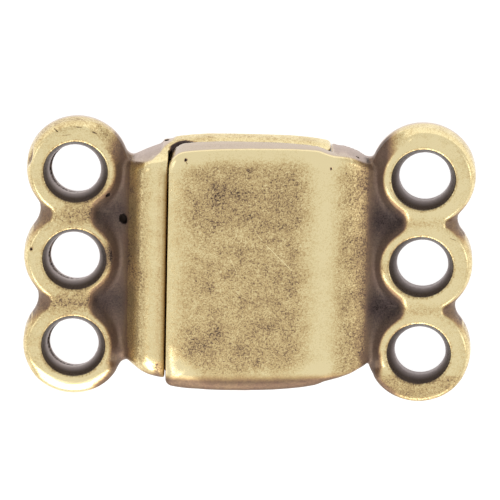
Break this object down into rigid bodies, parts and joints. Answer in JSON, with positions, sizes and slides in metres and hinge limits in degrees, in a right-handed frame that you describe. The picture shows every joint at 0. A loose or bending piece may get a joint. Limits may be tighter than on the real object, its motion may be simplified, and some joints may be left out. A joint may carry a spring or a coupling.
{
  "type": "three-strand magnetic clasp",
  "caption": "Flat multi-strand jewellery clasp in two cast halves that lap and hold by disc magnets, each with a column of round loops for the strands.",
  "frame": {"origin": "on the flat back, under the middle of the clasp", "axes": "+X along the clasp towards the cover half's loops, +Y across the strands, +Z out of the face"},
  "size_m": [0.0268, 0.0172, 0.0035],
  "materials": {
    "brass": "antique brass, worn bright on the raised edges, dark in the hollows",
    "magnet": "nickel-plated"
  },
  "bodies": {
    "base": {"base_half": "brass", "base_magnet_1": "magnet", "base_magnet_2": "magnet", "base_magnet_3": "magnet"},
    "cover": {"cover_half": "brass", "cover_magnet_1": "magnet", "cover_magnet_2": "magnet", "cover_magnet_3": "magnet"}
  },
  "joints": [
    {"name": "cover_lift", "type": "slide", "parent": "base", "child": "cover", "axis": [0, 0, 1], "range_m": [0, 0.008]}
  ]
}
